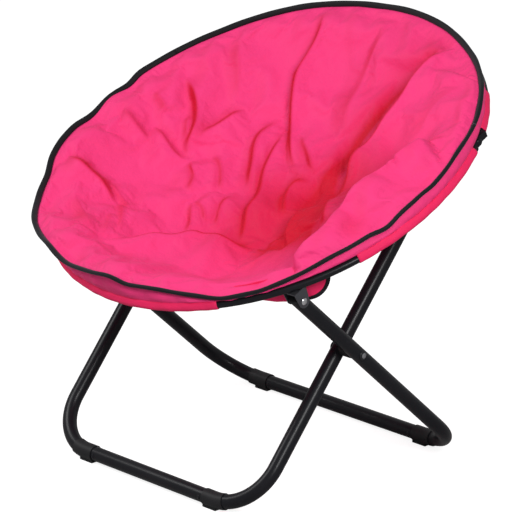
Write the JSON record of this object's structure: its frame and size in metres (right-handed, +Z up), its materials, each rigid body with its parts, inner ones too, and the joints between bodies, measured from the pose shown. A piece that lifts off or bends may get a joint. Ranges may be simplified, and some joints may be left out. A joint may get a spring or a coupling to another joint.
{
  "type": "folding armchair",
  "caption": "Folding round padded chair: a bowl seat on a hinged hoop, carried by crossed tube leg frames with floor bars.",
  "frame": {"origin": "on the floor under the middle of the open chair", "axes": "+Z up, front of the seat towards -Y, +X to the right of a person looking at the front from behind the chair"},
  "size_m": [0.7893, 0.7297, 0.7192],
  "materials": {
    "black_tube": "satin",
    "black_plastic": "matte",
    "bracket_steel": "satin",
    "rivets": "satin",
    "seat_cloth": "matte",
    "binding_tape": "matte"
  },
  "bodies": {
    "inner_frame": {"inner_leg_left": "black_tube", "inner_leg_right": "black_tube", "inner_floor_bar": "black_tube", "inner_bar_rivets": "rivets", "front_foot_left": "black_plastic", "front_foot_right": "black_plastic", "inner_plug_left": "black_plastic", "inner_plug_right": "black_plastic", "pivot_rivet_left": "rivets", "pivot_rivet_right": "rivets", "pivot_spacer_left": "black_plastic", "pivot_spacer_right": "black_plastic"},
    "outer_frame": {"outer_leg_left": "black_tube", "outer_leg_right": "black_tube", "outer_floor_bar": "black_tube", "outer_bar_rivets": "rivets", "rear_foot_left": "black_plastic", "rear_foot_right": "black_plastic", "outer_plug_left": "black_plastic", "outer_plug_right": "black_plastic"},
    "front_hoop": {"front_hoop": "black_tube", "front_bracket_left": "bracket_steel", "front_bracket_right": "bracket_steel", "front_bracket_rivet_left": "rivets", "front_bracket_rivet_right": "rivets", "hinge_rivet_left": "rivets", "hinge_rivet_right": "rivets", "front_sleeve_middle": "seat_cloth", "front_sleeve_left": "seat_cloth", "front_sleeve_right": "seat_cloth", "seat_pad_front": "seat_cloth", "front_edge_binding": "binding_tape", "front_flap_left": "seat_cloth", "front_flap_right": "seat_cloth", "flap_binding_left": "binding_tape", "flap_binding_right": "binding_tape"},
    "rear_hoop": {"rear_hoop": "black_tube", "rear_bracket_left": "bracket_steel", "rear_bracket_right": "bracket_steel", "rear_bracket_rivet_left": "rivets", "rear_bracket_rivet_right": "rivets", "hinge_tail_left": "rivets", "hinge_tail_right": "rivets", "rear_sleeve_middle": "seat_cloth", "rear_sleeve_left": "seat_cloth", "rear_sleeve_right": "seat_cloth", "seat_pad_rear": "seat_cloth", "rear_edge_binding": "binding_tape"}
  },
  "joints": [
    {"name": "leg_crossing", "type": "hinge", "parent": "inner_frame", "child": "outer_frame", "pos_m": [0, -0.06325, 0.2523], "axis": [-1, 0, 0], "range_deg": [0, 75]},
    {"name": "rear_bracket_pin", "type": "hinge", "parent": "inner_frame", "child": "rear_hoop", "pos_m": [0, 0.25176, 0.62177], "axis": [-1, 0, 0], "range_deg": [0, 133.5], "deforming": ["seat_pad_rear"]},
    {"name": "front_bracket_pin", "type": "hinge", "parent": "outer_frame", "child": "front_hoop", "pos_m": [0, -0.20271, 0.37912], "axis": [1, 0, 0], "range_deg": [0, 93.1], "deforming": ["seat_pad_front", "front_flap_left", "front_flap_right", "flap_binding_left", "flap_binding_right"]}
  ],
  "couplings": [
    {"joint": "rear_bracket_pin", "follows": "leg_crossing", "ratio": 1.7772},
    {"joint": "front_bracket_pin", "follows": "leg_crossing", "ratio": 1.2384}
  ]
}
